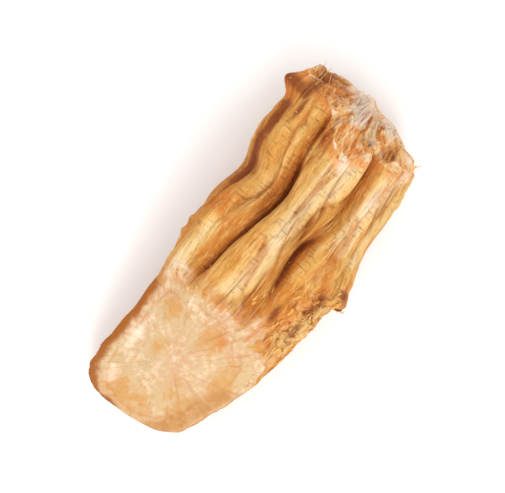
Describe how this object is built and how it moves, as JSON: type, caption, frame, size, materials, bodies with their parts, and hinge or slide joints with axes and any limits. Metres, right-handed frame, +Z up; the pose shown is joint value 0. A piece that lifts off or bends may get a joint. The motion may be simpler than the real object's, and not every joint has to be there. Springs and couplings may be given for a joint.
{
  "type": "white ginseng root",
  "caption": "Cut piece of dried white ginseng root: wrinkled golden bark with lengthwise furrows, one oblique pale knife cut and one torn fibrous end.",
  "frame": {"origin": "middle of the small flat spot under the piece, on which it rests", "axes": "+X along the root from the knife cut to the torn end, +Y towards the left edge as seen from above, +Z up"},
  "size_m": [0.0127, 0.0062, 0.0046],
  "materials": {
    "dried_root": "dry, matt, wrinkled bark"
  },
  "bodies": {
    "root": {"ginseng_root": "dried_root"}
  },
  "joints": []
}
